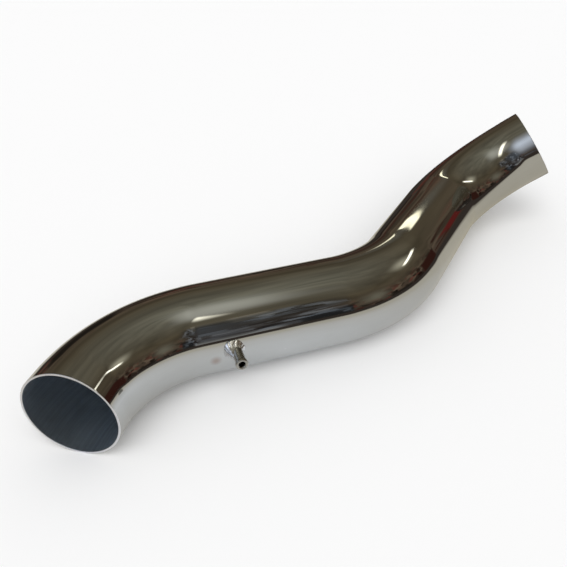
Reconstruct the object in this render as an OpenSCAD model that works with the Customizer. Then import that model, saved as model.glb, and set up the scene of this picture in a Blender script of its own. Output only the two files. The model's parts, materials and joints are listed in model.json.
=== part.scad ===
// Air intake tube: a polished aluminium tube with three mandrel bends, an open
// square-cut mouth at each end, and a small hose nipple welded to its long straight.
//
// The long straight lies along X. The inlet bend leads back from it towards -Y, the
// middle bend leads on towards +Y in the same plane, and the outlet bend turns back
// and rises. The tube lies on that plane, so its underside is at Z = 0 and its
// overall box is centred on the origin.

/* [Tube] */
// Outside diameter of the tube
tube_od = 76.2; // [60:0.1:102]
// Thickness of the tube's wall
tube_wall = 1.65; // [1.2:0.05:3]

/* [Bends] */
// Radius of every bend, at the middle of the tube
bend_r = 114.3; // [90:0.1:180]
// Angle of the bend next to the inlet
inlet_bend = 60; // [20:1:90]
// Angle of the middle bend
middle_bend = 45; // [20:1:90]
// Angle of the bend next to the outlet
outlet_bend = 70; // [20:1:90]
// How far the outlet bend is turned up out of the plane of the other two
outlet_rise = 35; // [10:1:80]
// How far the bending draws the wall in towards the middle of the tube
bend_draw = 0.2; // [0.2:0.05:0.5]

/* [Straights] */
// Length of the straight hose seat at the inlet
inlet_len = 12; // [8:1:60]
// Length of the long straight, between the inlet and middle bends
long_len = 118; // [70:1:250]
// Length of the straight between the middle and outlet bends
short_len = 118; // [20:1:250]
// Length of the straight hose seat at the outlet
outlet_len = 12; // [8:1:60]

/* [Nipple] */
// Distance of the nipple from the inlet end of the long straight
nipple_along = 22; // [15:1:50]
// How far the nipple is turned up from the plane of the first two bends
nipple_rise = 3; // [-30:1:30]
// Length of the nipple, from the outside of the tube to its tip
nipple_len = 22; // [16:0.5:40]
// Outside diameter of the nipple's stem
nipple_od = 8.4; // [7:0.1:10]
// Diameter of the hole through the nipple
nipple_bore = 5; // [3:0.1:6]
// How far the lip at the nipple's tip stands out from the stem
lip_rise = 0.7; // [0.4:0.1:1.5]
// Length of the lip along the nipple
lip_len = 3.4; // [2:0.1:6]
// Play around the nipple in the hole through the tube's wall
hole_play = 0.1; // [0.05:0.05:0.4]

/* [Weld] */
// Diameter of the weld bead where it meets the tube
bead_od = 18; // [15:0.5:22]
// Height that the weld bead climbs up the nipple
bead_h = 5.5; // [3:0.5:8]
// Number of ripples round the weld bead
ripples = 13; // [9:1:19]
// Diameter of each ripple
ripple_d = 5; // [4:0.1:6]

/* [Hidden] */
$fn = 96;
tube_id = tube_od - 2 * tube_wall;
// How far past each end a bend laps into its neighbours
lap = 0.2;
// Step between the stations that measure the reach of a bend
station_step = 1;
lip_od = nipple_od + 2 * lip_rise;
// Radius of the rounded edges of the nipple's lip
lip_round = lip_len / 4;
// Height of the slope under the lip
lip_slope = 2 * lip_rise;
// Height of the weld bead's outer toe above the tube
bead_toe = 0.5;
// Radius of the circle on which the ripples' centres lie
ripple_r = (bead_od - ripple_d) / 2;

// Places along the tube are 4 x 4 matrices. Each one's Z runs along the tube
// towards its end, and its X points to the centre of the bend that follows.

function shift(v) = [[1, 0, 0, v.x], [0, 1, 0, v.y], [0, 0, 1, v.z], [0, 0, 0, 1]];
function about_y(a) = [[cos(a), 0, sin(a), 0], [0, 1, 0, 0], [-sin(a), 0, cos(a), 0], [0, 0, 0, 1]];
function about_z(a) = [[cos(a), -sin(a), 0, 0], [sin(a), cos(a), 0, 0], [0, 0, 1, 0], [0, 0, 0, 1]];
function ahead(length) = shift([0, 0, length]);
function bent(angle) = shift([bend_r, 0, 0]) * about_y(angle) * shift([-bend_r, 0, 0]);

// Both ways start at the inlet end of the long straight, back and on.
back = [[0, 0, -1, 0], [-1, 0, 0, 0], [0, 1, 0, 0], [0, 0, 0, 1]];
on = [[0, 0, 1, 0], [1, 0, 0, 0], [0, 1, 0, 0], [0, 0, 0, 1]];
at_inlet_seat = back * bent(inlet_bend);
at_middle_bend = on * ahead(long_len);
at_short = at_middle_bend * bent(middle_bend);
at_outlet_bend = at_short * ahead(short_len) * about_z(180 - outlet_rise);
at_outlet_seat = at_outlet_bend * bent(outlet_bend);

// Stations all along the tube, and how far its outside reaches at one of them
function along(start, angle) = [for (a = [0:station_step:angle]) start * bent(a)];
stations = concat(
    along(back, inlet_bend),
    along(at_middle_bend, middle_bend),
    along(at_outlet_bend, outlet_bend),
    [at_inlet_seat, at_inlet_seat * ahead(inlet_len)],
    [at_outlet_seat, at_outlet_seat * ahead(outlet_len)]
);
function reach(m, k) = tube_od / 2 * sqrt(max(0, 1 - m[k][2] * m[k][2]));
function middle(k) = (
    min([for (m = stations) m[k][3] - reach(m, k)])
    + max([for (m = stations) m[k][3] + reach(m, k)])
) / 2;

// Puts what is drawn round the long straight where the whole part lies
module lie() {
    translate([-middle(0), -middle(1), tube_od / 2]) children();
}

module wall_ring(draw = 0) {
    difference() {
        circle(d = tube_od - 2 * draw);
        circle(d = tube_id - 2 * draw);
    }
}

module straight(start, length) {
    multmatrix(start) linear_extrude(height = length) wall_ring();
}

module bend(start, angle) {
    multmatrix(start)
        translate([bend_r, 0, 0])
            rotate([90, 0, 0])
                rotate_extrude(start = 180 - angle - lap, angle = angle + 2 * lap)
                    translate([bend_r, 0]) wall_ring(bend_draw);
}

// Sets its children on the axis of the nipple, with Z pointing out of the tube
module at_nipple() {
    translate([nipple_along, 0, 0]) rotate([90 - nipple_rise, 0, 0]) children();
}

// A solid bar along the long straight, for cutting seats round the tube
module bar(d) {
    rotate([0, 90, 0]) translate([0, 0, nipple_along - bead_od]) cylinder(d = d, h = 2 * bead_od);
}

// The bent tube, in one piece
module intake_tube() {
    color([0.86, 0.86, 0.85]) lie() difference() {
        union() {
            straight(at_inlet_seat, inlet_len);
            bend(back, inlet_bend);
            straight(on, long_len);
            bend(at_middle_bend, middle_bend);
            straight(at_short, short_len);
            bend(at_outlet_bend, outlet_bend);
            straight(at_outlet_seat, outlet_len);
        }
        at_nipple() cylinder(d = nipple_od + 2 * hole_play, h = tube_od);
    }
}

// Half of the nipple's section: the stem, and the lip with rounded edges
module nipple_section() {
    tip = tube_od / 2 + nipple_len;
    difference() {
        union() {
            square([nipple_od / 2, tip - lip_round]);
            hull() {
                translate([0, tip - lip_len - lip_slope / 2])
                    square([nipple_od / 2, lip_len - lip_round]);
                translate([lip_od / 2 - lip_round, tip - lip_round])
                    circle(r = lip_round, $fn = 24);
                translate([lip_od / 2 - lip_round, tip - lip_len + lip_round])
                    circle(r = lip_round, $fn = 24);
                translate([0, tip - lip_round]) square([nipple_bore / 2, lip_round]);
            }
        }
        translate([-nipple_bore / 2, 0]) square([nipple_bore, tip + 1]);
    }
}

// The turned hose nipple, which goes through the wall and ends flush with the bore
module port_nipple() {
    color([0.80, 0.79, 0.76]) lie() difference() {
        at_nipple() rotate_extrude() nipple_section();
        bar(tube_id);
    }
}

// The fillet weld round the nipple, which follows the round of the tube
module weld_bead() {
    color([0.74, 0.74, 0.73]) lie() difference() {
        at_nipple() {
            rotate_extrude() polygon([
                [0, 0],
                [bead_od / 2, 0],
                [bead_od / 2, tube_od / 2],
                [bead_od / 2 - bead_toe, tube_od / 2 + bead_toe],
                [nipple_od / 2 + bead_toe, tube_od / 2 + bead_h],
                [0, tube_od / 2 + bead_h]
            ]);
            for (a = [0:360 / ripples:359])
                rotate([0, 0, a])
                    translate([ripple_r, 0, sqrt(pow(tube_od / 2, 2) - pow(ripple_r * sin(a), 2))])
                        sphere(d = ripple_d);
        }
        bar(tube_od);
        at_nipple() cylinder(d = nipple_od, h = tube_od);
    }
}

intake_tube();
port_nipple();
weld_bead();
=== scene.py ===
"""Looks of the bent air intake tube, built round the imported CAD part.

The tube, its hose nipple and the weld bead are surfaces worked out from a few named
sizes, each carried along the middle line of the tube or round the axis of the nipple.
The studio has a pale floor, and a dark room that only the polished metal sees.
"""

import json
import logging
from dataclasses import dataclass, field
from enum import Enum

import bpy
import numpy as np
from mathutils import Matrix, Vector


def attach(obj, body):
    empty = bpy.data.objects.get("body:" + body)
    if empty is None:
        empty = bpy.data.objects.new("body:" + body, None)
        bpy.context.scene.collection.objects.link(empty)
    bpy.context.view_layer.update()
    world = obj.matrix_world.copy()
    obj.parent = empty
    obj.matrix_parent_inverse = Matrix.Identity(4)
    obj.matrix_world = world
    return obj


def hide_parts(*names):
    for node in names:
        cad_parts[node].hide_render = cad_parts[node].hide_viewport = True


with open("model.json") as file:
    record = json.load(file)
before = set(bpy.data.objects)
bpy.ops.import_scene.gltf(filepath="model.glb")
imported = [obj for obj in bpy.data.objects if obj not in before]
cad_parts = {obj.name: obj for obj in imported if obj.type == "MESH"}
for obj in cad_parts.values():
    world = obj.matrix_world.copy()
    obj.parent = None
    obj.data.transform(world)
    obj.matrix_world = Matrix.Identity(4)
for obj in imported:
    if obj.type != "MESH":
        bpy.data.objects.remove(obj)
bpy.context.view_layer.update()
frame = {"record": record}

MM = 0.001
SENSOR_WIDTH = 36.0
IMAGE_SIDE = 567
TUBE_RADIUS = 38.1 * MM
BORE_RADIUS = 36.45 * MM
STEM_RADIUS = 4.2 * MM
NIPPLE_ALONG = 22.0 * MM
NOISE_RANGE = (0.3, 0.7)

Array = np.ndarray
Triple = tuple[float, float, float]
Color = Triple
Stops = list[tuple[float, Color]]
Socket = bpy.types.NodeSocket
log = logging.getLogger("intake_tube")


class Face(Enum):
    """The finishes on the tube, in the order of its material slots."""

    OUTSIDE = 0
    RIM = 1
    BORE = 2


# Meshes


def ring_quads(rows: int, columns: int) -> Array:
    """Number the quads of a grid that closes on itself both ways.

    Quad (i, j) joins points (i, j), (i + 1, j), (i + 1, j + 1) and (i, j + 1), with
    both counted round.

    Args:
        rows: How many rings of points there are.
        columns: How many points are in each ring.

    Returns:
        Vertex numbers as an array of rows, columns and four corners.
    """
    ids = np.arange(rows * columns).reshape(rows, columns)
    after = np.roll(ids, -1, axis=0)
    return np.stack([ids, after, np.roll(after, -1, axis=1), np.roll(ids, -1, axis=1)], axis=-1)


def band_quads(first: Array, second: Array) -> Array:
    """Join two closed rings of vertex numbers with a band of quads."""
    return np.stack([first, second, np.roll(second, -1), np.roll(first, -1)], axis=-1)


def turn_angles(columns: int) -> Array:
    """Share a whole turn out between columns, in radians."""
    return np.arange(columns) * 2 * np.pi / columns


def make_piece(name: str, points: Array, quads: Array, unrolled: Array) -> bpy.types.Object:
    """Make a smooth piece, with the coordinates that its finish follows.

    Args:
        name: The piece's name.
        points: Vertex places in metres, one to a row.
        quads: Vertex numbers of each face, four to a row, outside to the viewer.
        unrolled: For each vertex, its length along the piece and its place in the
            section, as if the piece were straight.

    Returns:
        The new object, at the origin.
    """
    mesh = bpy.data.meshes.new(name)
    mesh.vertices.add(len(points))
    mesh.vertices.foreach_set("co", points.astype(np.float32).ravel())
    mesh.loops.add(quads.size)
    mesh.loops.foreach_set("vertex_index", quads.astype(np.int32).ravel())
    mesh.polygons.add(len(quads))
    mesh.polygons.foreach_set("loop_start", np.arange(0, quads.size, 4, dtype=np.int32))
    mesh.update(calc_edges=True)
    layer = mesh.attributes.new("unrolled", "FLOAT_VECTOR", "POINT")
    layer.data.foreach_set("vector", unrolled.astype(np.float32).ravel())
    mesh.shade_smooth()
    piece = bpy.data.objects.new(name, mesh)
    bpy.context.scene.collection.objects.link(piece)
    log.info("%s: %d faces", name, len(quads))
    return piece


# Materials


class Graph:
    """A node tree, with short calls that add and join its nodes."""

    def __init__(self, tree: bpy.types.NodeTree) -> None:
        """Keep the tree that the nodes go into."""
        self.tree = tree

    def add(self, kind: str, inputs: dict | None = None, **settings: object) -> bpy.types.Node:
        """Add one node.

        Args:
            kind: The node's type, without the words ShaderNode.
            inputs: A value, or another node's output, for each named or numbered input.
            settings: The node's own properties.

        Returns:
            The new node.
        """
        node = self.tree.nodes.new("ShaderNode" + kind)
        for key, value in settings.items():
            setattr(node, key, value)
        for key, value in (inputs or {}).items():
            if isinstance(value, Socket):
                self.tree.links.new(value, node.inputs[key])
            else:
                node.inputs[key].default_value = value
        return node

    def math(self, operation: str, *values: object) -> Socket:
        """Add a Math node on one to three values and return its output."""
        node = self.add("Math", dict(enumerate(values)), operation=operation)
        return node.outputs[0]

    def ramp(self, value: Socket, stops: Stops) -> Socket:
        """Turn a value from 0 to 1 into a colour, by stops with a place and a colour each."""
        node = self.add("ValToRGB", {0: value})
        elements = node.color_ramp.elements
        while len(elements) < len(stops):
            elements.new(1.0)
        for element, (place, color) in zip(elements, stops):
            element.position = place
            element.color = (*color, 1.0)
        return node.outputs[0]

    def ranged(
        self, value: Socket, low: float, high: float, to_low: float, to_high: float, **settings: str
    ) -> Socket:
        """Map a value from one range to another, held at the ends."""
        inputs = {0: value, 1: low, 2: high, 3: to_low, 4: to_high}
        return self.add("MapRange", inputs, **settings).outputs[0]

    def smooth(self, value: Socket, low: float, high: float) -> Socket:
        """Ease a value from 0 at one end of a range to 1 at the other."""
        return self.ranged(value, low, high, 0.0, 1.0, interpolation_type="SMOOTHSTEP")

    def scaled(self, place: Socket, factors: Socket | Triple) -> Socket:
        """Multiply coordinates by one factor for each axis."""
        return self.add("VectorMath", {0: place, 1: factors}, operation="MULTIPLY").outputs[0]

    def mixed(self, mask: Socket, first: Socket | Color, second: Color) -> Socket:
        """Mix two colours by a mask and return the colour."""
        inputs = {0: mask, 6: self._opaque(first), 7: self._opaque(second)}
        return self.add("Mix", inputs, data_type="RGBA").outputs[2]

    def _opaque(self, color: Socket | Color) -> Socket | tuple[float, ...]:
        """Give a fixed colour its alpha, and leave another node's output as it is."""
        return color if isinstance(color, Socket) else (*color, 1.0)

    def unrolled(self) -> Socket:
        """Read the coordinates that run along a piece as if it were straight."""
        return self.add("Attribute", attribute_name="unrolled").outputs["Vector"]

    def group(self, name: str, place: Socket, **sizes: float) -> Socket:
        """Read a shared group at some coordinates and return its value."""
        inputs = {"Coordinates": place, **sizes}
        return self.add("Group", inputs, node_tree=bpy.data.node_groups[name]).outputs[0]

    def blocks(self, place: Socket, counts: Triple) -> bpy.types.Node:
        """Split coordinates into square-edged blocks.

        Args:
            place: The coordinates.
            counts: About how many blocks there are to one unit of each axis.

        Returns:
            A node with three outputs, each a chance from 0 to 1 for the whole block.
        """
        inputs = {"Vector": self.scaled(place, counts), "Scale": 1.0}
        cells = self.add("TexVoronoi", inputs, distance="CHEBYCHEV")
        return self.add("SeparateColor", {0: cells.outputs["Color"]})

    def middle_mask(self, fade_across: float, fade_up: float) -> Socket:
        """Mask a patch that is marked from 0 to 1 each way.

        Args:
            fade_across: Share of its half width over which the mask fades.
            fade_up: Share of its half height over which it fades.

        Returns:
            A mask that is 1 in the middle and eases to 0 at the edges.
        """
        parts = self.add("SeparateXYZ", {0: self.unrolled()})
        masks = []
        for part, fade in zip(parts.outputs, (fade_across, fade_up)):
            from_middle = self.math("ABSOLUTE", self.math("MULTIPLY_ADD", part, 2.0, -1.0))
            masks.append(self.smooth(from_middle, 1.0, 1.0 - fade))
        return self.math("MULTIPLY", *masks)

    def glow(self, color: Socket | Color, strength: Socket | float, mask: Socket | None = None) -> None:
        """Give a material a glow, with what lies behind it where a mask is 0."""
        shader = self.add("Emission", {0: self._opaque(color), 1: strength}).outputs[0]
        if mask is not None:
            clear = self.add("BsdfTransparent").outputs[0]
            shader = self.add("MixShader", {0: mask, 1: clear, 2: shader}).outputs[0]
        self.tree.links.new(shader, self.tree.nodes["Material Output"].inputs[0])


def start_group(name: str, sizes: dict[str, float]) -> tuple[Graph, bpy.types.Node]:
    """Start a node group that turns coordinates and sizes into one value.

    Args:
        name: The group's name.
        sizes: The name and usual value of each number that it takes.

    Returns:
        The group's graph and its input node.
    """
    tree = bpy.data.node_groups.new(name, "ShaderNodeTree")
    tree.interface.new_socket("Coordinates", in_out="INPUT", socket_type="NodeSocketVector")
    for size, usual in sizes.items():
        socket = tree.interface.new_socket(size, in_out="INPUT", socket_type="NodeSocketFloat")
        socket.default_value = usual
    tree.interface.new_socket("Value", in_out="OUTPUT", socket_type="NodeSocketFloat")
    return Graph(tree), tree.nodes.new("NodeGroupInput")


def end_group(graph: Graph, value: Socket) -> None:
    """Send a value out of a node group."""
    out = graph.tree.nodes.new("NodeGroupOutput")
    graph.tree.links.new(value, out.inputs[0])


def polishing_marks() -> None:
    """Make the group of fine marks that run along a piece.

    Noise is read in coordinates that are squeezed along the first axis, so that each
    blot of it becomes a long thin mark.
    """
    graph, entry = start_group("polishing_marks", {"Width": 0.6 * MM, "Stretch": 40.0})
    across = graph.math("DIVIDE", 1.0, entry.outputs["Width"])
    along = graph.math("DIVIDE", across, entry.outputs["Stretch"])
    factors = graph.add("CombineXYZ", {0: along, 1: across, 2: across}).outputs[0]
    squeezed = graph.scaled(entry.outputs["Coordinates"], factors)
    end_group(graph, graph.add("TexNoise", {"Vector": squeezed, "Scale": 1.0, "Detail": 3.0}).outputs[0])


def soft_waves() -> None:
    """Make the group of low waves that hand polishing leaves: noise with large swells."""
    graph, entry = start_group("soft_waves", {"Size": 30.0 * MM})
    scale = graph.math("DIVIDE", 1.0, entry.outputs["Size"])
    inputs = {"Vector": entry.outputs["Coordinates"], "Scale": scale, "Detail": 0.5}
    end_group(graph, graph.add("TexNoise", inputs).outputs[0])


@dataclass(frozen=True)
class Stain:
    """A soft round stain, at a place in a piece's unrolled coordinates."""

    spot: Triple
    size: float
    color: Color = (0.30, 0.16, 0.10)
    core: float = 0.2
    strength: float = 0.45


@dataclass(frozen=True)
class Finish:
    """One metal finish: its colours, its gloss and how deep its marks are."""

    name: str
    base: Color
    tint: Color
    roughness: tuple[float, float]
    mark_width: float
    mark_stretch: float
    mark_depth: float
    wave_size: float
    wave_depth: float
    cloud_share: float = 0.4
    stain: Stain | None = None

    def build(self) -> bpy.types.Material:
        """Make the material from the shared groups of marks and waves.

        Returns:
            The material.
        """
        material = bpy.data.materials.new(self.name)
        material.use_nodes = True
        graph = Graph(material.node_tree)
        place = graph.unrolled()
        marks = graph.group("polishing_marks", place, Width=self.mark_width, Stretch=self.mark_stretch)
        waves = graph.group("soft_waves", place, Size=self.wave_size)
        clouds = graph.group("soft_waves", place, Size=self.wave_size * self.cloud_share)
        tone = graph.math("MULTIPLY_ADD", marks, 0.5, graph.math("MULTIPLY", clouds, 0.5))
        color = graph.mixed(graph.ranged(tone, *NOISE_RANGE, 0.0, 1.0), self.base, self.tint)
        if self.stain:
            color = graph.mixed(self._stained(graph, place), color, self.stain.color)
        swell = graph.add("Bump", {"Height": waves, "Strength": 1.0, "Distance": self.wave_depth})
        scratch = {"Height": marks, "Strength": 1.0, "Distance": self.mark_depth, "Normal": swell.outputs[0]}
        shader = material.node_tree.nodes["Principled BSDF"]
        shader.inputs["Metallic"].default_value = 1.0
        links = material.node_tree.links
        links.new(color, shader.inputs["Base Color"])
        links.new(graph.ranged(tone, *NOISE_RANGE, *self.roughness), shader.inputs["Roughness"])
        links.new(graph.add("Bump", scratch).outputs[0], shader.inputs["Normal"])
        return material

    def _stained(self, graph: Graph, place: Socket) -> Socket:
        """Mask the stain, fading out from its core to its edge."""
        away = graph.add("VectorMath", {0: place, 1: self.stain.spot}, operation="DISTANCE")
        core, size = self.stain.core * self.stain.size, self.stain.size
        near = graph.ranged(away.outputs["Value"], core, size, 1.0, 0.0)
        return graph.math("MULTIPLY", near, self.stain.strength)


POLISHED = Finish(
    name="polished_outside",
    base=(0.58, 0.59, 0.59),
    tint=(0.565, 0.572, 0.567),
    roughness=(0.035, 0.065),
    mark_width=1.6 * MM,
    mark_stretch=25.0,
    mark_depth=0.0003 * MM,
    wave_size=40.0 * MM,
    wave_depth=0.16 * MM,
    stain=Stain(spot=(137.0 * MM, 37.3 * MM, 7.8 * MM), size=5.5 * MM),
)
CUT_RIM = Finish(
    name="cut_rim",
    base=(0.93, 0.94, 1.0),
    tint=(0.84, 0.86, 0.93),
    roughness=(0.25, 0.4),
    mark_width=0.3 * MM,
    mark_stretch=1.0,
    mark_depth=0.02 * MM,
    wave_size=10.0 * MM,
    wave_depth=0.05 * MM,
)
DRAWN_BORE = Finish(
    name="drawn_bore",
    base=(0.84, 0.92, 1.0),
    tint=(0.50, 0.56, 0.63),
    roughness=(0.34, 0.56),
    mark_width=3.0 * MM,
    mark_stretch=70.0,
    mark_depth=0.03 * MM,
    wave_size=70.0 * MM,
    wave_depth=0.2 * MM,
)
TURNED = Finish(
    name="turned_nipple_finish",
    base=(0.50, 0.49, 0.46),
    tint=(0.38, 0.37, 0.33),
    roughness=(0.2, 0.34),
    mark_width=0.5 * MM,
    mark_stretch=0.4,
    mark_depth=0.01 * MM,
    wave_size=6.0 * MM,
    wave_depth=0.1 * MM,
)
WELD_METAL = Finish(
    name="weld_metal",
    base=(0.95, 0.95, 0.97),
    tint=(0.86, 0.87, 0.90),
    roughness=(0.15, 0.32),
    mark_width=0.6 * MM,
    mark_stretch=1.5,
    mark_depth=0.06 * MM,
    wave_size=3.0 * MM,
    wave_depth=0.3 * MM,
)


# The part


@dataclass(frozen=True)
class Stretch:
    """One straight or bend of the tube's middle line, and the directions at its start."""

    walked: float
    length: float
    angle: float
    radius: float
    place: Array
    tangent: Array
    inward: Array
    side: Array

    def along(self, s: Array) -> tuple[Array, Array, Array]:
        """Work out places, tangents and sides.

        On a straight the place moves by s times the tangent. In a bend of radius R, with
        a = s / R, it moves by R sin(a) along the tangent and R (1 - cos(a)) towards the
        bend's centre, and the tangent turns by a. The side direction is carried along
        without twist.

        Args:
            s: Lengths from the inlet.

        Returns:
            Places, tangents and sides, one row for each length.
        """
        run = (s - self.walked)[:, None]
        if self.angle == 0.0:
            ones = np.ones_like(run)
            return self.place + run * self.tangent, ones * self.tangent, ones * self.side
        a = run / self.radius
        moved = self.radius * (np.sin(a) * self.tangent + (1 - np.cos(a)) * self.inward)
        tangents = np.cos(a) * self.tangent + np.sin(a) * self.inward
        turned_in = np.cos(a) * self.inward - np.sin(a) * self.tangent
        sides = self.side + float(self.side @ self.inward) * (turned_in - self.inward)
        return self.place + moved, tangents, sides


@dataclass
class Path:
    """The middle line of the tube, as straights and bends laid end to end.

    Walking in from the inlet, the inlet bend turns right into the long straight along
    X, the middle bend turns left, and the outlet bend turns right and upwards.
    """

    start: Array
    bend_radius: float = 114.3 * MM
    inlet_angle: float = 60.0
    middle_angle: float = 45.0
    outlet_angle: float = 70.0
    outlet_rise: float = 35.0
    inlet_length: float = 12.0 * MM
    long_length: float = 118.0 * MM
    short_length: float = 118.0 * MM
    outlet_length: float = 12.0 * MM
    nipple_lift: float = 3.0
    stretches: list[Stretch] = field(init=False, default_factory=list)

    def __post_init__(self) -> None:
        """Carry the directions along the stretches and note them where each one starts."""
        heading, lift = np.radians(self.inlet_angle), np.radians(self.nipple_lift)
        tangent = np.array([np.cos(heading), np.sin(heading), 0.0])
        inward = np.array([tangent[1], -tangent[0], 0.0])
        side = inward * np.cos(lift) + np.array([0.0, 0.0, np.sin(lift)])
        place, walked = self.start, 0.0
        for length, angle, turn in self._plan():
            turned, bent = np.radians(turn), np.radians(angle)
            inward = inward * np.cos(turned) + np.cross(tangent, inward) * np.sin(turned)
            stretch = Stretch(walked, length, angle, self.bend_radius, place, tangent, inward, side)
            self.stretches.append(stretch)
            walked += length
            inward = inward * np.cos(bent) - tangent * np.sin(bent)
            place, tangent, side = (end[0] for end in stretch.along(np.array([walked])))

    def _plan(self) -> list[Triple]:
        """List each stretch's length, the angle it bends through and the turn before it."""
        arc = self.bend_radius * np.pi / 180
        return [
            (self.inlet_length, 0.0, 0.0),
            (self.inlet_angle * arc, self.inlet_angle, 0.0),
            (self.long_length, 0.0, 0.0),
            (self.middle_angle * arc, self.middle_angle, 180.0),
            (self.short_length, 0.0, 0.0),
            (self.outlet_angle * arc, self.outlet_angle, 180.0 - self.outlet_rise),
            (self.outlet_length, 0.0, 0.0),
        ]

    def at(self, s: Array) -> tuple[Array, Array, Array]:
        """Work out places, tangents and sides at any lengths from the inlet."""
        places, tangents, sides = (np.zeros((len(s), 3)) for _ in range(3))
        for stretch in self.stretches:
            here = s >= stretch.walked - 1e-9
            places[here], tangents[here], sides[here] = stretch.along(s[here])
        return places, tangents, sides

    def drawn(self, s: Array, ease: float) -> Array:
        """Tell how far each length is into a bend, from 0 on a straight to 1.

        Args:
            s: Lengths from the inlet.
            ease: Length over which it changes.

        Returns:
            A share for each length, eased as t t (3 - 2 t).
        """
        share = np.zeros_like(s)
        for stretch in self.stretches:
            if stretch.angle:
                run = s - stretch.walked
                t = np.clip(np.minimum(run, stretch.length - run) / ease, 0, 1)
                share += t * t * (3 - 2 * t)
        return share

    def stations(self, degrees: float, straight_step: float) -> Array:
        """Choose lengths from the inlet, close together in the bends.

        Args:
            degrees: Angle between two stations in a bend.
            straight_step: Length between two stations on a straight.

        Returns:
            The lengths, in order.
        """
        lengths = []
        for part in self.stretches:
            count = int(np.ceil(part.angle / degrees if part.angle else part.length / straight_step))
            lengths.append(np.linspace(part.walked, part.walked + part.length, count, endpoint=False))
        return np.concatenate(lengths + [np.array([self.total])])

    @property
    def total(self) -> float:
        """The tube's whole length along its middle."""
        return self.stretches[-1].walked + self.stretches[-1].length

    @property
    def start_of_long(self) -> float:
        """Length from the inlet to the long straight."""
        return self.stretches[2].walked


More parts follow.
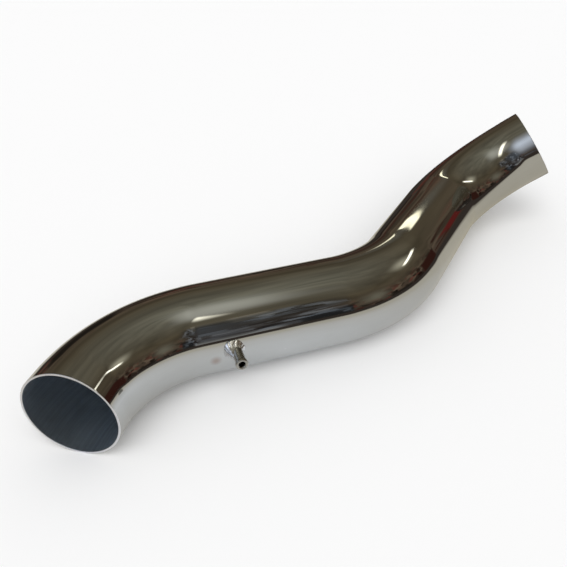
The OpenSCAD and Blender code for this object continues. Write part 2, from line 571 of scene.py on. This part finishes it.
@dataclass
class IntakeTube:
    """The bent tube: its outside, its two cut rims and its bore, as one closed skin."""

    path: Path
    nipple_at: float
    radius: float = TUBE_RADIUS
    bore: float = BORE_RADIUS
    draw: float = 0.2 * MM
    draw_ease: float = 14.0 * MM
    edge_round: float = 0.25 * MM
    hold: float = 0.4 * MM
    hole_radius: float = 4.3 * MM
    hole_margin: float = 5.0 * MM
    hole_clear: float = 0.5 * MM
    outer_steps: tuple[float, float] = (1.0, 8.0 * MM)
    inner_steps: tuple[float, float] = (2.5, 10.0 * MM)
    columns: int = 160
    hole_columns: int = 4

    def _side_rows(self, degrees: float, straight_step: float) -> Array:
        """Choose the rings of one side, with some held at the rims and round the hole."""
        total, rows = self.path.total, self.path.stations(degrees, straight_step)
        corner, held = self.edge_round, self.edge_round + self.hold
        at_hole = self.nipple_at + np.array([-1.0, 0.0, 1.0]) * self.hole_margin
        near_hole = np.abs(rows - self.nipple_at) < self.hole_margin + self.hole_clear
        kept = rows[(rows > 2 * held) & (rows < total - 2 * held) & ~near_hole]
        return np.sort(np.concatenate([kept, at_hole, [corner, held, total - held, total - corner]]))

    def _corner(
        self, radius: float, towards: float, at_end: bool, to_flat: bool
    ) -> tuple[Array, Array, Face]:
        """Round a corner of the cut rim.

        The quarter circle runs from the side to the flat of the rim: with c the corner's
        radius, its points lie c (1 - cos a) in from the side and c (1 - sin a) in from
        the end.

        Args:
            radius: Radius of the side.
            towards: 1 to round towards a larger radius, or -1 towards a smaller one.
            at_end: Whether the corner is at the outlet.
            to_flat: Whether the points run from the side to the flat, or back.

        Returns:
            Lengths from the inlet, radii, and the finish.
        """
        a = np.radians([22.5, 45.0, 67.5, 90.0])[:: 1 if to_flat else -1]
        lengths = self.edge_round * (1 - np.sin(a))
        radii = radius + towards * self.edge_round * (1 - np.cos(a))
        return (self.path.total - lengths if at_end else lengths), radii, Face.RIM

    def _profile(self) -> tuple[Array, Array, Array]:
        """List each ring's length, radius and finish, all the way round the wall."""
        outer, inner = self._side_rows(*self.outer_steps), self._side_rows(*self.inner_steps)[::-1]
        outer_radii = self.radius - self.draw * self.path.drawn(outer, self.draw_ease)
        inner_radii = self.bore - self.draw * self.path.drawn(inner, self.draw_ease)
        parts = [
            (outer, outer_radii, Face.OUTSIDE),
            self._corner(self.radius, -1, at_end=True, to_flat=True),
            self._corner(self.bore, 1, at_end=True, to_flat=False),
            (inner, inner_radii, Face.BORE),
            self._corner(self.bore, 1, at_end=False, to_flat=True),
            self._corner(self.radius, -1, at_end=False, to_flat=False),
        ]
        lengths, radii = (np.concatenate([part[k] for part in parts]) for k in (0, 1))
        faces = np.concatenate([np.full(len(part[0]), part[2].value) for part in parts])
        return lengths, radii, faces

    def _sweep(self, lengths: Array, radii: Array, angles: Array) -> tuple[Array, Array]:
        """Place points round the path.

        The point at length s, radius r and angle f lies at the path's place plus
        r cos(f) along its side and r sin(f) along its top.

        Args:
            lengths: Length from the inlet of each point.
            radii: Its distance from the middle line.
            angles: Its angle round it, from the nipple's side.

        Returns:
            The points, and their coordinates as if the tube were straight.
        """
        places, tangents, sides = self.path.at(lengths)
        tops = np.cross(tangents, sides)
        x, y = radii * np.cos(angles), radii * np.sin(angles)
        points = places + x[:, None] * sides + y[:, None] * tops
        return points, np.stack([lengths, x, y], axis=-1)

    def _hole_ring(self, first_row: int, lengths: Array, radius: float) -> tuple[Array, Array, Array]:
        """Work out the ring of grid points round the hole, and the hole's own edge.

        With t the angle round the hole and h its radius, the edge lies h cos(t) along
        the tube and at an angle asin(h sin(t) / radius).

        Args:
            first_row: Number of the first of the three rows at the hole.
            lengths: Every ring's length from the inlet.
            radius: Radius of this side of the wall.

        Returns:
            The grid's vertex numbers, and the edge's lengths and angles beside them.
        """
        half = self.hole_columns
        across = np.arange(-half, half + 1)
        rows = np.concatenate([np.zeros(2 * half + 1), [1], np.full(2 * half + 1, 2), [1]]).astype(int)
        columns = np.concatenate([across, [half], across[::-1], [-half]])
        ids = (first_row + rows) * self.columns + columns % self.columns
        along = lengths[first_row + rows] - self.nipple_at
        over = radius * np.sin(columns * 2 * np.pi / self.columns)
        t = np.arctan2(over, along)
        edge_lengths = self.nipple_at + self.hole_radius * np.cos(t)
        return ids, edge_lengths, np.arcsin(self.hole_radius * np.sin(t) / radius)

    def build(self) -> bpy.types.Object:
        """Sweep the wall's profile along the path, and open the hole at the nipple.

        Returns:
            The tube.
        """
        lengths, radii, faces = self._profile()
        rows, columns = len(lengths), self.columns
        angles = np.tile(turn_angles(columns), rows)
        points, unrolled = self._sweep(np.repeat(lengths, columns), np.repeat(radii, columns), angles)
        keep = np.ones((rows, columns), dtype=bool)
        block = np.arange(-self.hole_columns, self.hole_columns) % columns
        edges, patches, patch_slots = [], [], []
        for face, radius in ((Face.OUTSIDE, self.radius), (Face.BORE, self.bore)):
            of_face = np.flatnonzero(faces == face.value)
            nearest = np.argsort(np.abs(lengths[of_face] - self.nipple_at))[:3]
            first = int(of_face[nearest].min())
            keep[np.ix_([first, first + 1], block)] = False
            grid, edge_lengths, edge_angles = self._hole_ring(first, lengths, radius)
            edge_points, edge_unrolled = self._sweep(edge_lengths, np.full(len(grid), radius), edge_angles)
            edge = len(points) + np.arange(len(grid))
            points = np.concatenate([points, edge_points])
            unrolled = np.concatenate([unrolled, edge_unrolled])
            edges.append(edge)
            patches.append(band_quads(grid, edge))
            patch_slots.append(np.full(len(grid), face.value))
        # The bore's rings run back to the inlet, so its edge is matched to the outer one by place.
        outer, inner = edges
        apart = np.abs(unrolled[outer][:, None] - unrolled[inner])
        patches.append(band_quads(outer, inner[np.argmin(apart[..., 0] + apart[..., 2], axis=1)]))
        patch_slots.append(np.full(len(outer), Face.BORE.value))
        quads = np.concatenate([ring_quads(rows, columns)[keep]] + patches)
        slots = np.concatenate([np.repeat(faces[:, None], columns, axis=1)[keep]] + patch_slots)
        piece = make_piece("tube_skin", points, quads, unrolled)
        for finish in (POLISHED, CUT_RIM, DRAWN_BORE):
            piece.data.materials.append(finish.build())
        piece.data.polygons.foreach_set("material_index", slots.astype(np.int32))
        return piece


def saddle(round_radius: float, radius: Array, angle: Array) -> Array:
    """Work out the height of the tube's round wall at points round the nipple's axis.

    At a radius and angle round the axis, it is the square root of the wall's own radius
    squared minus (radius sin(angle)) squared.
    """
    return np.sqrt(round_radius**2 - (radius * np.sin(angle)) ** 2)


@dataclass
class NippleAxis:
    """Where the nipple stands: its foot on the tube's middle line, and its directions."""

    foot: Array
    out: Array
    along: Array

    def turned(
        self, name: str, radii: Array, heights: Array, flipped: bool, finish: Finish
    ) -> bpy.types.Object:
        """Make a piece from rings of points round the axis.

        A point at angle f lies at the foot plus its height along the axis, its radius
        times cos(f) along the tube and its radius times sin(f) across it.

        Args:
            name: The piece's name.
            radii: Radii of the points, one row for each ring.
            heights: Their heights above the foot.
            flipped: Whether the rings run so that the faces have to be turned over.
            finish: The piece's finish.

        Returns:
            The piece.
        """
        angle = turn_angles(radii.shape[1])
        x, y = radii * np.cos(angle), radii * np.sin(angle)
        across = np.cross(self.out, self.along)
        points = self.foot + x[..., None] * self.along + y[..., None] * across + heights[..., None] * self.out
        unrolled = np.stack([heights, x, y], axis=-1)
        quads = ring_quads(*radii.shape)[..., :: -1 if flipped else 1]
        piece = make_piece(name, points.reshape(-1, 3), quads.reshape(-1, 4), unrolled.reshape(-1, 3))
        piece.data.materials.append(finish.build())
        return piece


@dataclass
class Nipple:
    """The turned hose nipple, as a profile turned round its axis."""

    axis: NippleAxis
    stem: float = STEM_RADIUS
    lip: float = 4.9 * MM
    lip_length: float = 3.4 * MM
    lip_slope: float = 1.4 * MM
    hole: float = 2.5 * MM
    chamfer: float = 0.75 * MM
    edge: float = 0.1 * MM
    length: float = 22.0 * MM
    cut_to_bore: float = -1.0
    columns: int = 64

    def _profile(self) -> Array:
        """List radii and heights, up the hole, over the lip and down the stem."""
        tip = TUBE_RADIUS + self.length
        r, top_of_hole = self.lip_length / 4, tip - self.chamfer
        hole = [
            (self.hole, self.cut_to_bore),
            (self.hole, tip - 6 * MM),
            (self.hole, top_of_hole - 0.5 * MM),
            (self.hole, top_of_hole - self.edge),
            (self.hole + self.edge, top_of_hole + self.edge),
            (self.hole + self.chamfer, tip - 0.02 * MM),
            (self.hole + self.chamfer + 0.15 * MM, tip),
        ]
        a, b = np.radians(np.linspace(0, 90, 7)), np.radians(np.linspace(0, 60, 5))
        upper = [self.lip - r + r * np.sin(a), tip - r + r * np.cos(a)]
        lower = [self.lip - r + r * np.cos(b), tip - self.lip_length + r - r * np.sin(b)]
        slope_foot = tip - self.lip_length - self.lip_slope / 2
        stem = [
            (self.stem + 0.12 * MM, slope_foot + 0.25 * MM),
            (self.stem, slope_foot - self.edge),
            (self.stem, slope_foot - 0.8 * MM),
            (self.stem, tip - 16 * MM),
            (self.stem, self.cut_to_bore),
        ]
        return np.concatenate([hole, np.transpose(upper), np.transpose(lower), stem]).T

    def build(self) -> bpy.types.Object:
        """Turn the profile round the axis, with its foot cut to the round of the bore.

        Returns:
            The nipple.
        """
        radii, heights = (np.repeat(row[:, None], self.columns, axis=1) for row in self._profile())
        foot = saddle(BORE_RADIUS, radii, turn_angles(self.columns))
        heights = np.where(heights == self.cut_to_bore, foot, heights)
        return self.axis.turned("turned_nipple", radii, heights, flipped=True, finish=TURNED)


@dataclass
class WeldBead:
    """The fillet weld round the nipple, a ring of overlapping ripples on a saddle."""

    axis: NippleAxis
    stem: float = STEM_RADIUS
    toe: float = 8.6 * MM
    toe_swing: float = 1.4 * MM
    toe_wobble: float = 0.35 * MM
    height: float = 5.0 * MM
    height_swing: float = 9.0 * MM
    height_wobble: float = 0.5 * MM
    heavy_side: float = 200.0
    climb_power: float = 1.3
    rise_power: float = 1.15
    hollow: float = 1.7
    heavy_hollow: float = 1.25
    ripples: int = 11
    ripple_depth: float = 0.42 * MM
    swell_out: float = 0.7
    swell_up: float = 0.8
    seat_width: float = 1.0 * MM
    rows: int = 21
    columns: int = 220

    def _face(self, angle: Array, v: Array) -> tuple[Array, Array]:
        """Work out the radius and height of the bead's face.

        With v from 0 at the toe to 1 at the stem, the radius falls as (1 - v) to a power
        that makes it hollow, less so on the heavy side, and the height above the tube
        rises as v to the power rise_power. The toe reaches out as the cosine of the angle
        from the heavy side, and the height rises as the same cosine, where it is above
        zero, to the power climb_power. Each ripple is a round swell with a sharp valley
        beside it, which leans round the nipple and fades out up the face.

        Args:
            angle: Angles round the axis.
            v: Shares of the way up the face.

        Returns:
            Radii and heights above the axis's foot.
        """
        heavy = np.cos(angle - np.radians(self.heavy_side))
        climb = np.clip(heavy, 0, 1) ** self.climb_power
        toe = self.toe + self.toe_swing * heavy + self.toe_wobble * np.sin(5 * angle + 1.9)
        height = self.height + self.height_swing * climb + self.height_wobble * np.sin(3 * angle + 0.4)
        lean = 0.5 * (2 * v - 1) ** 2 + 0.12 * np.sin(2 * angle)
        phase = (angle * self.ripples / (2 * np.pi) + lean) % 1.0
        body = np.sin(np.pi * v**0.6) * (1 - 0.5 * v)
        swell = self.ripple_depth * np.sqrt(np.clip(1 - (2 * phase - 1) ** 2, 0, 1)) * body
        power = self.hollow + (self.heavy_hollow - self.hollow) * climb
        radius = self.stem + (toe - self.stem) * (1 - v) ** power + self.swell_out * swell
        above = height * v**self.rise_power
        return radius, saddle(TUBE_RADIUS, radius, angle) + above + self.swell_up * swell

    def build(self) -> bpy.types.Object:
        """Close the bead's face with its hidden back, along the stem and the tube.

        Returns:
            The weld bead.
        """
        angle = turn_angles(self.columns)
        face_radii, face_heights = self._face(angle, np.linspace(0, 1, self.rows)[:, None])
        back = np.repeat([[self.stem], [self.stem + self.seat_width]], self.columns, axis=1)
        radii = np.concatenate([face_radii, back])
        heights = np.concatenate([face_heights, saddle(TUBE_RADIUS, back, angle)])
        return self.axis.turned("weld_fillet", radii, heights, flipped=False, finish=WELD_METAL)


# The studio


@dataclass(frozen=True)
class Panel:
    """A patch of the room's wall or ceiling that stands out, faded at its edges."""

    name: str
    azimuths: tuple[float, float]
    elevations: tuple[float, float]
    color: Color
    strength: float
    fade: float


@dataclass(frozen=True)
class Strip:
    """A straight lamp between two places in the room."""

    name: str
    start: Triple
    end: Triple
    width: float
    color: Color
    strength: float
    fade: float


PANELS = (
    Panel("window", (-196, -98), (2, 70), (0.84, 0.92, 1.06), 1.05, 0.8),
    Panel("window_glow", (-116, -82), (12, 52), (0.86, 0.97, 1.12), 0.24, 0.8),
    Panel("ceiling_glow", (-175, -40), (58, 88), (1.0, 0.97, 0.86), 0.46, 1.0),
    Panel("shelf", (-100, -80), (-0.5, 8), (1.0, 0.98, 0.93), 0.26, 0.2),
    Panel("boxes", (-86, -79), (37, 50), (1.0, 0.88, 0.66), 0.24, 0.2),
    Panel("bench_clutter", (-80, -69), (-1, 18), (1.0, 1.0, 0.9), 0.022, 0.25),
    Panel("cupboard", (-68, -38), (0, 36), (1.0, 0.92, 0.68), 0.18, 1.0),
    Panel("maroon_cloth", (-9, 11), (-2, 18), (1.0, 0.34, 0.24), 0.040, 0.2),
    Panel("red_box", (14.5, 21), (3, 14), (1.0, 0.14, 0.12), 0.13, 0.4),
    Panel("dark_door", (100, 118), (-1, 21), (1.0, 0.8, 0.6), 0.018, 0.35),
    Panel("dark_gap", (-45, -20), (-1, 6), (1.0, 0.8, 0.6), 0.025, 0.4),
    Panel("lamp_halo", (-22, 16), (36, 56), (1.0, 0.93, 0.70), 0.50, 1.0),
    Panel("far_halo", (44, 76), (24, 41), (1.0, 0.92, 0.74), 0.13, 1.0),
)
STRIPS = (
    Strip("lamp_far", (1.46, 1.60, 1.38), (0.86, 2.16, 1.06), 0.11, (1.0, 0.94, 0.68), 2.2, 0.35),
    Strip("lamp_right", (2.06, -0.36, 1.54), (1.98, 0.68, 1.54), 0.15, (1.0, 0.95, 0.78), 2.6, 0.5),
    Strip("lamp_over", (0.12, -1.42, 1.96), (-0.66, 0.02, 2.24), 0.30, (1.0, 0.95, 0.78), 2.6, 0.7),
    Strip("zenith_glow", (0.18, -1.30, 2.04), (0.02, 0.40, 2.28), 0.9, (1.0, 0.98, 0.84), 0.5, 1.0),
)
ROOM_TONES = [
    (0.0, (0.04, 0.026, 0.02)),
    (0.15, (0.09, 0.065, 0.045)),
    (0.45, (0.10, 0.08, 0.05)),
    (0.7, (0.14, 0.125, 0.09)),
    (1.0, (0.22, 0.21, 0.16)),
]
SHELF_TONES = [
    (0.0, (0.02, 0.02, 0.022)),
    (0.1, (0.06, 0.066, 0.075)),
    (0.35, (0.16, 0.18, 0.205)),
    (1.0, (0.42, 0.44, 0.46)),
]
SHELF_FADES = (0.5, 0.3)
SHELF_COVER = 0.7
APRON_TONES = [
    (0.0, (0.34, 0.39, 0.43)),
    (0.12, (0.36, 0.35, 0.32)),
    (0.32, (0.37, 0.32, 0.20)),
    (0.5, (0.37, 0.32, 0.20)),
    (0.64, (0.045, 0.036, 0.030)),
]
APRON_COVER = [(0.0, 0.22), (0.1, 0.42), (0.32, 0.66), (0.5, 0.70), (0.64, 1.0)]
LARGE_SLABS = (6.0, 5.0, 1.0)
SMALL_SLABS = (14.0, 11.0, 1.0)
CLUTTER = (80.0, 20.0, 1.0)
CLUTTER_TOP = (0.38, 0.14)
CLUTTER_STRENGTHS = (0.2, 1.8)
CLUTTER_RED = (0.09, 0.028, 0.02)
RED_CHANCES = (0.74, 0.78)
CLOUDS = (14.0, 6.0, 1.0)
CLOUD_STRENGTHS = (0.75, 1.25)


def blank_material(name: str) -> tuple[bpy.types.Material, Graph]:
    """Start a material with nothing in it but its output."""
    material = bpy.data.materials.new(name)
    material.use_nodes = True
    material.node_tree.nodes.remove(material.node_tree.nodes["Principled BSDF"])
    return material, Graph(material.node_tree)


def faded_glow(thing: Panel | Strip) -> bpy.types.Material:
    """Make the glow of a panel or a lamp, which fades towards its edges."""
    material, graph = blank_material(thing.name)
    graph.glow(thing.color, thing.strength, graph.middle_mask(thing.fade, thing.fade))
    return material


def shelf_paint() -> bpy.types.Material:
    """Make shelves of long flat things: light and dark slabs of many sizes.

    Returns:
        The material, whose tone is the product of a chance for each large slab and the
        cube of one for each small slab.
    """
    material, graph = blank_material("workshop_shelves")
    place = graph.unrolled()
    small, large = (graph.blocks(place, counts).outputs[0] for counts in (SMALL_SLABS, LARGE_SLABS))
    chance = graph.math("MULTIPLY", graph.math("POWER", small, 3.0), large)
    shown = graph.math("MULTIPLY", graph.middle_mask(*SHELF_FADES), SHELF_COVER)
    graph.glow(graph.ramp(chance, SHELF_TONES), 1.0, shown)
    return material


def apron_paint() -> bpy.types.Material:
    """Make the shade that comes over the floor towards the room's foot."""
    material, graph = blank_material("floor_apron")
    outward = graph.add("SeparateXYZ", {0: graph.unrolled()}).outputs[0]
    cover = graph.ramp(outward, [(place, (share, share, share)) for place, share in APRON_COVER])
    graph.glow(graph.ramp(outward, APRON_TONES), 1.0, cover)
    return material


def shell_paint() -> bpy.types.Material:
    """Make the room's walls: tones by height, with blocky clutter low down.

    Returns:
        The material. Low down, each block has its own strength and some are reddish,
        and soft clouds vary the strength everywhere.
    """
    material, graph = blank_material("room_shell")
    place = graph.unrolled()
    height = graph.add("SeparateXYZ", {0: place}).outputs[1]
    low = graph.smooth(height, *CLUTTER_TOP)
    chance = graph.blocks(place, CLUTTER)
    red = graph.math("MULTIPLY", graph.ranged(chance.outputs[1], *RED_CHANCES, 0.0, 0.8), low)
    tone = graph.mixed(red, graph.ramp(height, ROOM_TONES), CLUTTER_RED)
    drift = {"Vector": graph.scaled(place, CLOUDS), "Scale": 1.0, "Detail": 3.0}
    clouds = graph.ranged(graph.add("TexNoise", drift).outputs[0], *NOISE_RANGE, *CLOUD_STRENGTHS)
    block = graph.ranged(chance.outputs[0], 0.0, 1.0, *CLUTTER_STRENGTHS)
    evened = graph.add("Mix", {0: low, 2: 1.0, 3: block}).outputs[0]
    graph.glow(tone, graph.math("MULTIPLY", evened, clouds))
    return material


@dataclass(frozen=True)
class Studio:
    """The pale floor, the soft light and the dark room that the metal reflects."""

    floor_tone: Color = (0.94, 0.94, 0.94)
    floor_half: float = 6.0
    room: Triple = (2.8, 2.6, 2.3)
    panel_share: float = 0.985
    panel_step: float = 0.003
    shelf_share: float = 0.94
    lamp_share: float = 0.93
    apron_half: tuple[float, float] = (0.95, 0.62)
    apron_middle: tuple[float, float] = (-0.08, -0.10)
    apron_hole: float = 1.0 * MM
    apron_lift: float = 0.6 * MM
    world_light: float = 0.58
    key_strength: float = 1.9
    key_spread: float = 70.0
    key_aim: Triple = (0.25, 0.75, -0.9)

    def floor(self) -> None:
        """Lay the floor under the tube."""
        x, y = np.meshgrid([-self.floor_half, self.floor_half], [-self.floor_half, self.floor_half])
        floor = self._sheet("floor", np.stack([x, y, np.zeros((2, 2))], axis=-1), np.zeros((2, 2, 2)))
        material = bpy.data.materials.new("pale_floor")
        material.use_nodes = True
        shader = material.node_tree.nodes["Principled BSDF"]
        shader.inputs["Base Color"].default_value = (*self.floor_tone, 1.0)
        shader.inputs["Roughness"].default_value = 1.0
        shader.inputs["Specular IOR Level"].default_value = 0.0
        floor.data.materials.append(material)

    def world(self) -> None:
        """Light the scene evenly from a pale surround."""
        world = bpy.data.worlds.new("surround")
        bpy.context.scene.world = world
        world.use_nodes = True
        graph = Graph(world.node_tree)
        rays = graph.add("LightPath").outputs
        seen = graph.math("ADD", rays["Is Camera Ray"], rays["Is Glossy Ray"])
        seen = graph.math("ADD", seen, rays["Is Transmission Ray"])
        back = world.node_tree.nodes["Background"]
        back.inputs[0].default_value = (1.0, 1.0, 1.0, 1.0)
        world.node_tree.links.new(graph.ranged(seen, 0, 1, self.world_light, 1.0), back.inputs[1])

    def lights(self) -> None:
        """Hang one broad, soft and even light over the front left, out of the metal's sight."""
        data = bpy.data.lights.new("soft_key", "SUN")
        data.energy, data.angle = self.key_strength, np.radians(self.key_spread)
        lamp = bpy.data.objects.new("soft_key", data)
        lamp.rotation_euler = Vector(self.key_aim).to_track_quat("-Z", "Y").to_euler()
        lamp.visible_glossy = False
        bpy.context.scene.collection.objects.link(lamp)

    def surroundings(self) -> None:
        """Build the room: its shell, the shade on its floor, its panels, shelves and lamps."""
        shell = self._patch("room_shell", (-180, 180), (-1.5, 90), 1.0)
        self._reflected(shell, shell_paint())
        self._reflected(self._apron(), apron_paint())
        for rank, panel in enumerate(PANELS):
            share = self.panel_share - self.panel_step * rank
            patch = self._patch(panel.name, panel.azimuths, panel.elevations, share)
            self._reflected(patch, faded_glow(panel))
        shelves = self._patch("workshop_shelves", (-112, -66), (-1, 50), self.shelf_share)
        self._reflected(shelves, shelf_paint())
        for strip in STRIPS:
            self._reflected(self._ribbon(strip), faded_glow(strip))

    def _reflected(self, piece: bpy.types.Object, paint: bpy.types.Material) -> None:
        """Paint a piece of the room, and let only mirror-like rays see it."""
        piece.data.materials.append(paint)
        for ray in ("camera", "diffuse", "transmission", "volume_scatter", "shadow"):
            setattr(piece, "visible_" + ray, False)

    def _sheet(self, name: str, points: Array, marks: Array) -> bpy.types.Object:
        """Make an open sheet from a grid of points.

        Args:
            name: The sheet's name.
            points: Places on a grid of rows and columns.
            marks: Two numbers for each point, for the material to read.

        Returns:
            The sheet.
        """
        rows, columns = points.shape[:2]
        ids = np.arange(rows * columns).reshape(rows, columns)
        quads = np.stack([ids[:-1, :-1], ids[:-1, 1:], ids[1:, 1:], ids[1:, :-1]], axis=-1)
        unrolled = np.concatenate([marks, np.zeros((rows, columns, 1))], axis=-1)
        return make_piece(name, points.reshape(-1, 3), quads.reshape(-1, 4), unrolled.reshape(-1, 3))

    def _patch(
        self, name: str, azimuths: tuple[float, float], elevations: tuple[float, float], share: float
    ) -> bpy.types.Object:
        """Make a patch of the room's shell, between two azimuths and two elevations.

        With a the azimuth from X and e the elevation, a point lies at x cos a cos e,
        y sin a cos e and z sin e, where x, y and z are a share of the room's half sizes.

        Args:
            name: The patch's name.
            azimuths: The first and last azimuth, in degrees.
            elevations: The lowest and highest elevation, in degrees.
            share: The share, just under 1 for what stands before the shell.

        Returns:
            The patch, marked from 0 to 1 each way.
        """
        wide = max(3, int(abs(azimuths[1] - azimuths[0]) / 3) + 1)
        tall = max(3, int(abs(elevations[1] - elevations[0]) / 3) + 1)
        u, v = np.meshgrid(np.linspace(0, 1, wide), np.linspace(0, 1, tall))
        a = np.radians(azimuths[0] + u * (azimuths[1] - azimuths[0]))
        e = np.radians(elevations[0] + v * (elevations[1] - elevations[0]))
        size = np.array(self.room) * share
        points = np.stack([np.cos(a) * np.cos(e), np.sin(a) * np.cos(e), np.sin(e)], axis=-1) * size
        return self._sheet(name, points, np.stack([u, v], axis=-1))

    def _ribbon(self, strip: Strip) -> bpy.types.Object:
        """Make a lamp's ribbon, broadside to the middle of the floor."""
        start, end = np.array(strip.start), np.array(strip.end)
        across = np.cross(end - start, start + end)
        across = across / np.linalg.norm(across) * strip.width
        u, v = np.meshgrid(np.linspace(0, 1, 13), np.linspace(0, 1, 5))
        points = start + u[..., None] * (end - start) + (v[..., None] - 0.5) * across
        return self._sheet(strip.name, points * self.lamp_share, np.stack([u, v], axis=-1))

    def _apron(self) -> bpy.types.Object:
        """Make the shade on the floor, a hair above it.

        It is a flat ring round the apron's middle: a point at angle a and share v lies v
        of the way from the tiny hole to the apron's half sizes. Rows past v = 1 take it
        out to the foot of the room.

        Returns:
            The ring, marked with v.
        """
        a = np.linspace(-np.pi, np.pi, 121)[None, :]
        v = np.concatenate([np.linspace(0, 1, 25), [1.6, 3.2]])[:, None]
        reach_x, reach_y = (self.apron_hole + v * (half - self.apron_hole) for half in self.apron_half)
        x = self.apron_middle[0] + reach_x * np.cos(a)
        y = self.apron_middle[1] + reach_y * np.sin(a)
        x[-1], y[-1] = self.room[0] * np.cos(a[0]), self.room[1] * np.sin(a[0])
        points = np.stack([x, y, np.full_like(x, self.apron_lift)], axis=-1)
        marks = np.stack([np.broadcast_to(v, x.shape), np.zeros_like(x)], axis=-1)
        return self._sheet("floor_apron", points, marks)


@dataclass(frozen=True)
class Viewpoint:
    """The camera, where the photograph was taken from."""

    place: Triple = (-0.18623, -0.46687, 0.34267)
    right: Triple = (0.95609, -0.28937, -0.04644)
    up: Triple = (0.19456, 0.50819, 0.83898)
    focal_pixels: float = 613.3

    def build(self) -> None:
        """Make the camera and set the view transform."""
        data = bpy.data.cameras.new("camera")
        data.sensor_width = SENSOR_WIDTH
        data.lens = self.focal_pixels * SENSOR_WIDTH / IMAGE_SIDE
        data.clip_start = 0.01
        camera = bpy.data.objects.new("camera", data)
        right, up = Vector(self.right).normalized(), Vector(self.up).normalized()
        back = right.cross(up)
        turn = Matrix((right, up, back)).transposed()
        camera.matrix_world = Matrix.Translation(self.place) @ turn.to_4x4()
        bpy.context.scene.collection.objects.link(camera)
        bpy.context.scene.camera = camera
        bpy.context.scene.view_settings.view_transform = "Standard"


def seat_mouth(name: str) -> Array:
    """Find the middle of a hose seat's mouth in the record.

    Args:
        name: The mount's name.

    Returns:
        The place, half the seat's length out from its own middle.
    """
    mount = next(m for m in frame["record"]["mounts"] if m["name"] == name)
    return np.array(mount["pos_m"]) + np.array(mount["axis"]) * mount["dims"]["length_mm"] * MM / 2


def place_piece(piece: bpy.types.Object, node: str) -> None:
    """Let a piece stand for its CAD node and move with the body."""
    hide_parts(node)
    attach(piece, "root")


def main() -> None:
    """Build the pieces, the studio and the camera in order."""
    logging.basicConfig(level=logging.INFO)
    polishing_marks()
    soft_waves()
    path = Path(start=seat_mouth("inlet_seat"))
    nipple_at = path.start_of_long + NIPPLE_ALONG
    places, tangents, sides = path.at(np.array([nipple_at]))
    axis = NippleAxis(foot=places[0], out=sides[0], along=tangents[0])
    place_piece(IntakeTube(path, nipple_at).build(), "intake_tube")
    place_piece(Nipple(axis).build(), "port_nipple")
    place_piece(WeldBead(axis).build(), "weld_bead")
    studio = Studio()
    studio.floor()
    studio.world()
    studio.surroundings()
    studio.lights()
    Viewpoint().build()


if __name__ == "__main__":
    main()
